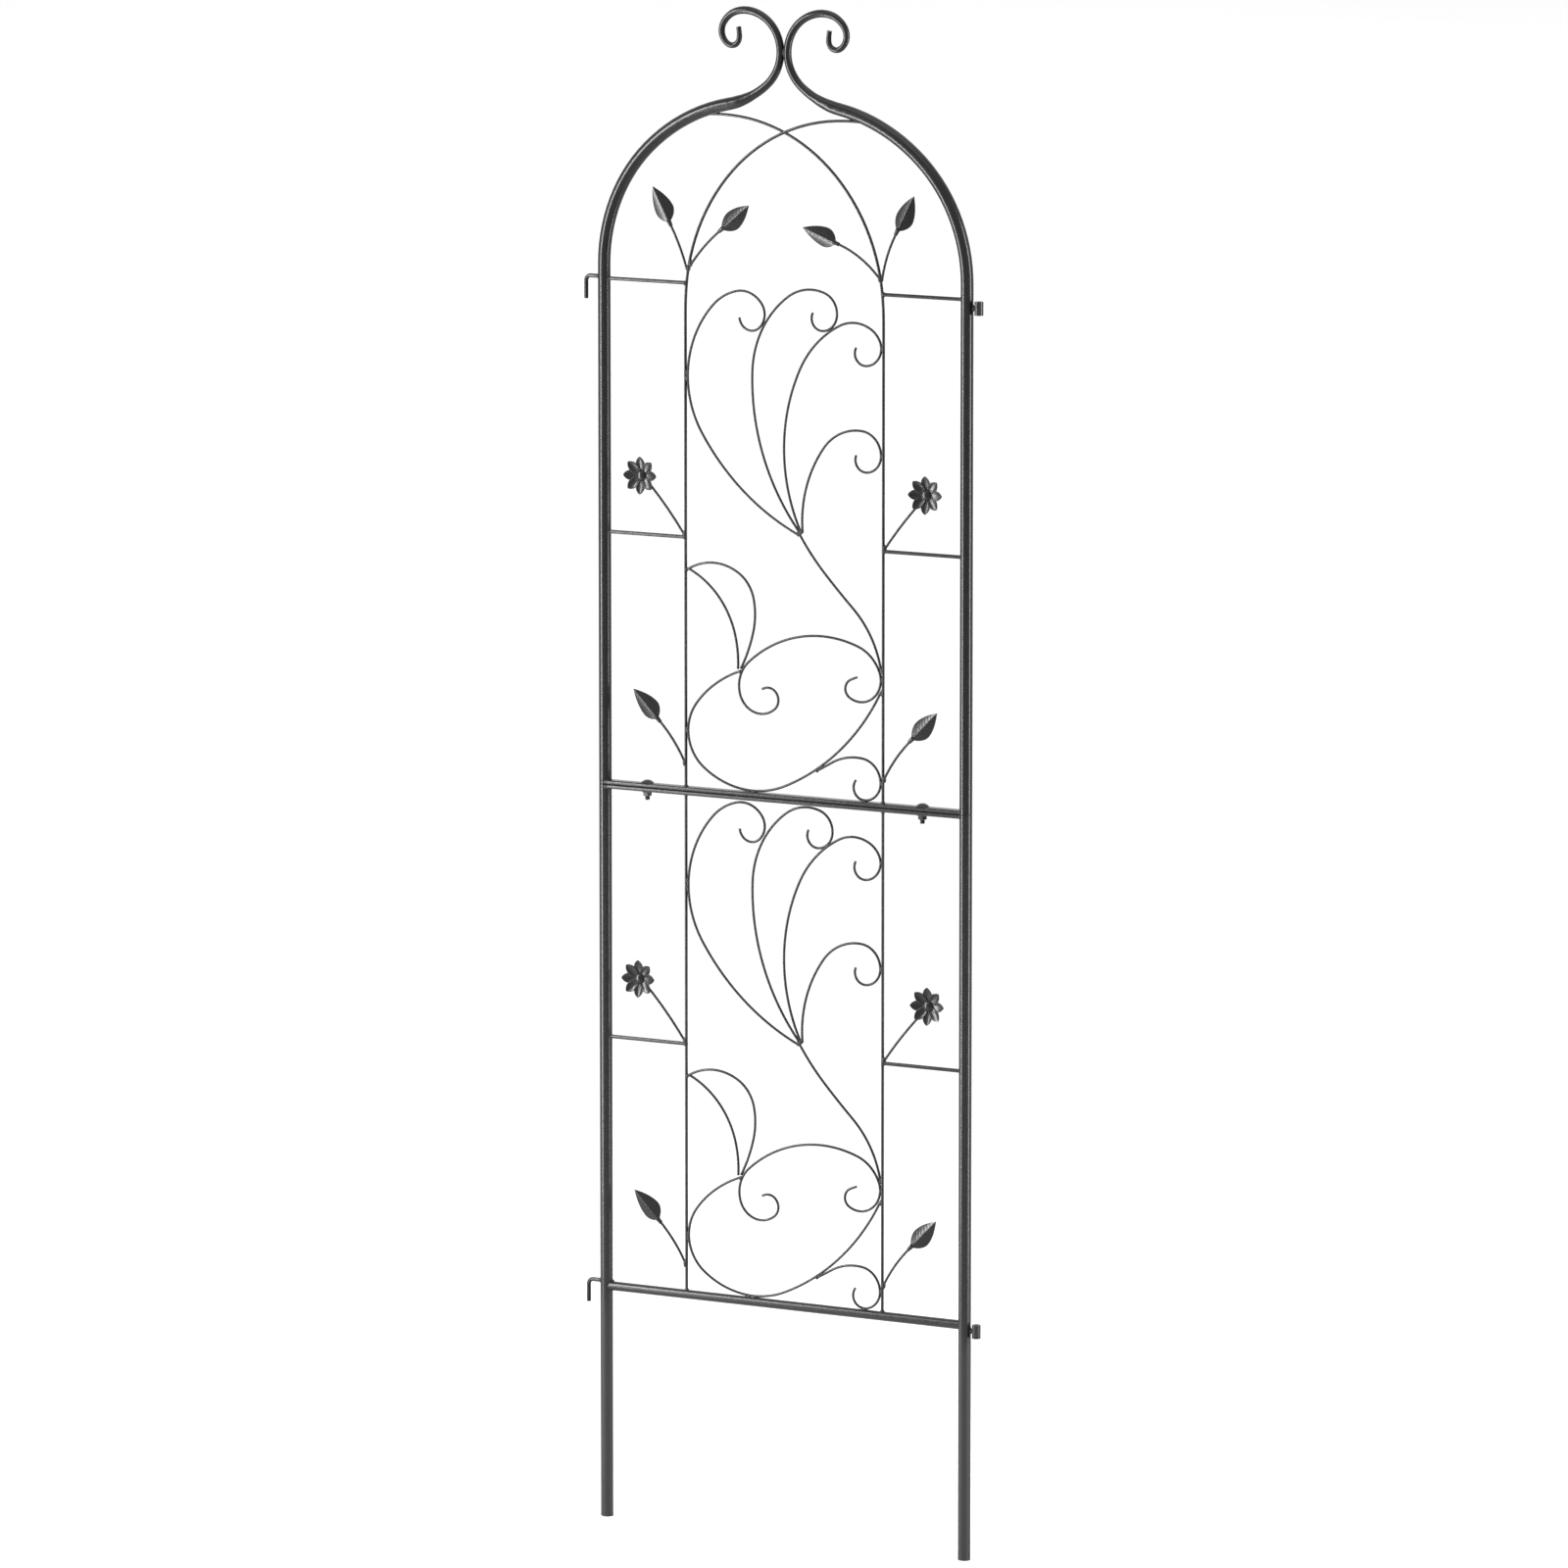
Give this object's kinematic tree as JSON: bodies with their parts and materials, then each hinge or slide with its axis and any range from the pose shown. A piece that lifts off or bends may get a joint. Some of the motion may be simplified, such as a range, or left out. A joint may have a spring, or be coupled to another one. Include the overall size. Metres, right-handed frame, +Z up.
{
  "type": "garden trellis panel",
  "caption": "Flat two-section arched metal trellis panel with scrolled wire infill, leaves, flowers, ground stakes and side hooks for joining to a neighbouring panel.",
  "frame": {"origin": "midway between the two post axes, level with the bottom of the ground stakes", "axes": "+Z up along the posts, +X from the hook side to the sleeve side, -Y out of the front face with leaves and flowers"},
  "size_m": [0.5327, 0.016, 1.8012],
  "materials": {
    "coated_steel": "satin black powder coat",
    "coated_sheet": "satin black powder coat on sheet",
    "blackened_fasteners": "black coated zinc",
    "plug_plastic": "matte"
  },
  "bodies": {
    "lower_section": {"bottom_bar": "coated_steel", "lower_belly_wire": "coated_steel", "lower_body_scroll": "coated_steel", "lower_hook": "coated_steel", "lower_left_flower": "coated_sheet", "lower_left_low_leaf": "coated_sheet", "lower_left_post": "coated_steel", "lower_left_vine": "coated_steel", "lower_loop_inner": "coated_steel", "lower_loop_outer": "coated_steel", "lower_mid_bar": "coated_steel", "lower_plume_1": "coated_steel", "lower_plume_2": "coated_steel", "lower_plume_3": "coated_steel", "lower_plume_4": "coated_steel", "lower_plume_stem": "coated_steel", "lower_right_flower": "coated_sheet", "lower_right_low_leaf": "coated_sheet", "lower_right_post": "coated_steel", "lower_right_vine": "coated_steel", "lower_rungs": "coated_steel", "lower_sleeve": "coated_steel", "lower_small_scroll": "coated_steel", "lower_stems": "coated_steel", "stake_plugs": "plug_plastic"},
    "upper_section": {"left_finial": "coated_steel", "right_finial": "coated_steel", "spigots": "coated_steel", "upper_belly_wire": "coated_steel", "upper_body_scroll": "coated_steel", "upper_hook": "coated_steel", "upper_left_flower": "coated_sheet", "upper_left_inner_leaf": "coated_sheet", "upper_left_low_leaf": "coated_sheet", "upper_left_outer_leaf": "coated_sheet", "upper_left_post": "coated_steel", "upper_left_vine": "coated_steel", "upper_loop_inner": "coated_steel", "upper_loop_outer": "coated_steel", "upper_mid_bar": "coated_steel", "upper_plume_1": "coated_steel", "upper_plume_2": "coated_steel", "upper_plume_3": "coated_steel", "upper_plume_4": "coated_steel", "upper_plume_stem": "coated_steel", "upper_right_flower": "coated_sheet", "upper_right_inner_leaf": "coated_sheet", "upper_right_low_leaf": "coated_sheet", "upper_right_outer_leaf": "coated_sheet", "upper_right_post": "coated_steel", "upper_right_vine": "coated_steel", "upper_rungs": "coated_steel", "upper_sleeve": "coated_steel", "upper_small_scroll": "coated_steel", "upper_stems": "coated_steel"},
    "left_screw": {"left_screw": "blackened_fasteners"},
    "right_screw": {"right_screw": "blackened_fasteners"},
    "left_nut": {"left_nut": "blackened_fasteners"},
    "right_nut": {"right_nut": "blackened_fasteners"}
  },
  "joints": [
    {"name": "upper_section_lift", "type": "slide", "parent": "lower_section", "child": "upper_section", "axis": [0, 0, 1], "range_m": [0, 0.05]},
    {"name": "left_screw_lift", "type": "slide", "parent": "upper_section", "child": "left_screw", "axis": [0, 0, 1], "range_m": [0, 0.03]},
    {"name": "right_screw_lift", "type": "slide", "parent": "upper_section", "child": "right_screw", "axis": [0, 0, 1], "range_m": [0, 0.03]},
    {"name": "left_nut_turn", "type": "hinge", "parent": "lower_section", "child": "left_nut", "pos_m": [-0.185, 0, 0.8715], "axis": [0, 0, 1], "continuous": true},
    {"name": "right_nut_turn", "type": "hinge", "parent": "lower_section", "child": "right_nut", "pos_m": [0.185, 0, 0.8715], "axis": [0, 0, 1], "continuous": true}
  ]
}
